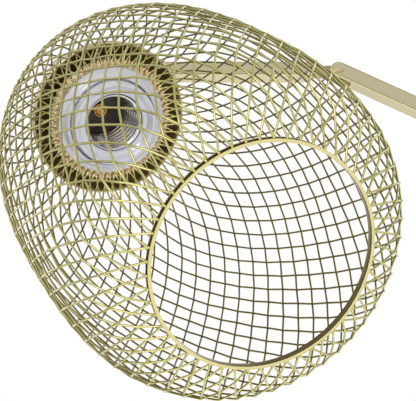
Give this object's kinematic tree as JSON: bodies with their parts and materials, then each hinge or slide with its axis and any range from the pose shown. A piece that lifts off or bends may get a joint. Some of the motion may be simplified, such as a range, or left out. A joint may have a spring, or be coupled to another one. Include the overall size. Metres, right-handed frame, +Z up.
{
  "type": "wire mesh table lamp",
  "caption": "Adjustable table lamp with jointed square arms and a barrel-shaped woven wire shade round a screw lampholder, on a weighted round base.",
  "frame": {"origin": "centre of the base's underside, under the post, on the surface that the lamp stands on", "axes": "+Z up along the post; -X from the post towards the lamp head; -Y towards the side that the shade opens to"},
  "size_m": [0.485, 0.3212, 0.4605],
  "materials": {
    "gold_metal": "satin champagne gold",
    "shade_wire": "bright champagne gold",
    "dark_brass": "dull, darkened",
    "steel": "zinc plated",
    "bright_shell": "nickel plated",
    "cast_iron": "as cast, black",
    "black_rubber": "matt black",
    "lampholder_plastic": "gloss pale grey",
    "core_plastic": "gloss black-brown, thermosetting",
    "button_plastic": "satin cream",
    "cable_sheath": "off-white sheath"
  },
  "bodies": {
    "base": {"base_pad": "black_rubber", "base_ballast": "cast_iron", "base_cover": "gold_metal", "base_cover_screws": "steel", "cable_inlet": "black_rubber", "switch_body": "black_rubber", "post_rod": "steel", "post_rod_nut": "steel", "post_rod_washer": "steel", "post_foot": "gold_metal", "post_plug": "steel", "post_tube": "gold_metal", "post_lead": "cable_sheath", "post_bush": "dark_brass"},
    "switch": {"switch_button": "button_plastic"},
    "elbow": {"elbow_fork": "gold_metal", "post_clip": "steel", "elbow_washers": "dark_brass", "elbow_screw": "steel", "elbow_nut": "steel"},
    "long_arm": {"elbow_tongue": "gold_metal", "main_tube": "gold_metal", "main_lead": "cable_sheath", "wrist_fork": "gold_metal", "wrist_washers": "dark_brass", "wrist_screw": "steel", "wrist_nut": "steel"},
    "short_arm": {"wrist_tongue": "gold_metal", "head_tube": "gold_metal", "head_lead": "cable_sheath", "swivel_bush": "dark_brass"},
    "head_fork": {"swivel_fork": "gold_metal", "swivel_clip": "steel", "tilt_washers": "dark_brass", "tilt_screw": "steel", "tilt_nut": "steel"},
    "head": {"neck": "gold_metal", "neck_lead": "cable_sheath", "neck_nut": "steel", "cup": "gold_metal", "lampholder_body": "core_plastic", "terminal_screws": "steel", "lampholder_skirt": "lampholder_plastic", "screw_shell": "bright_shell", "centre_contact": "dark_brass", "shade_ring": "lampholder_plastic", "shade_collar": "dark_brass", "wire_shade": "shade_wire", "rim_band": "shade_wire"}
  },
  "joints": [
    {"name": "switch_press", "type": "slide", "parent": "base", "child": "switch", "axis": [0, 0, -1], "range_m": [0, 0.002], "stiffness_N_per_m": 400, "springref_m": -0.001},
    {"name": "arm_swivel", "type": "hinge", "parent": "base", "child": "elbow", "pos_m": [0, 0, 0.33], "axis": [0, 0, 1], "range_deg": [-170, 170]},
    {"name": "elbow_bend", "type": "hinge", "parent": "elbow", "child": "long_arm", "pos_m": [0, 0, 0.33], "axis": [0, 1, 0], "range_deg": [-45, 58]},
    {"name": "wrist_bend", "type": "hinge", "parent": "long_arm", "child": "short_arm", "pos_m": [-0.22828, 0, 0.45446], "axis": [0, 1, 0], "range_deg": [-60, 75]},
    {"name": "head_roll", "type": "hinge", "parent": "short_arm", "child": "head_fork", "pos_m": [-0.38028, 0, 0.45446], "axis": [1, 0, 0], "range_deg": [-130, 170]},
    {"name": "head_tilt", "type": "hinge", "parent": "head_fork", "child": "head", "pos_m": [-0.38028, 0, 0.45446], "axis": [0, 0.723, -0.6909], "range_deg": [-20, 70]}
  ]
}
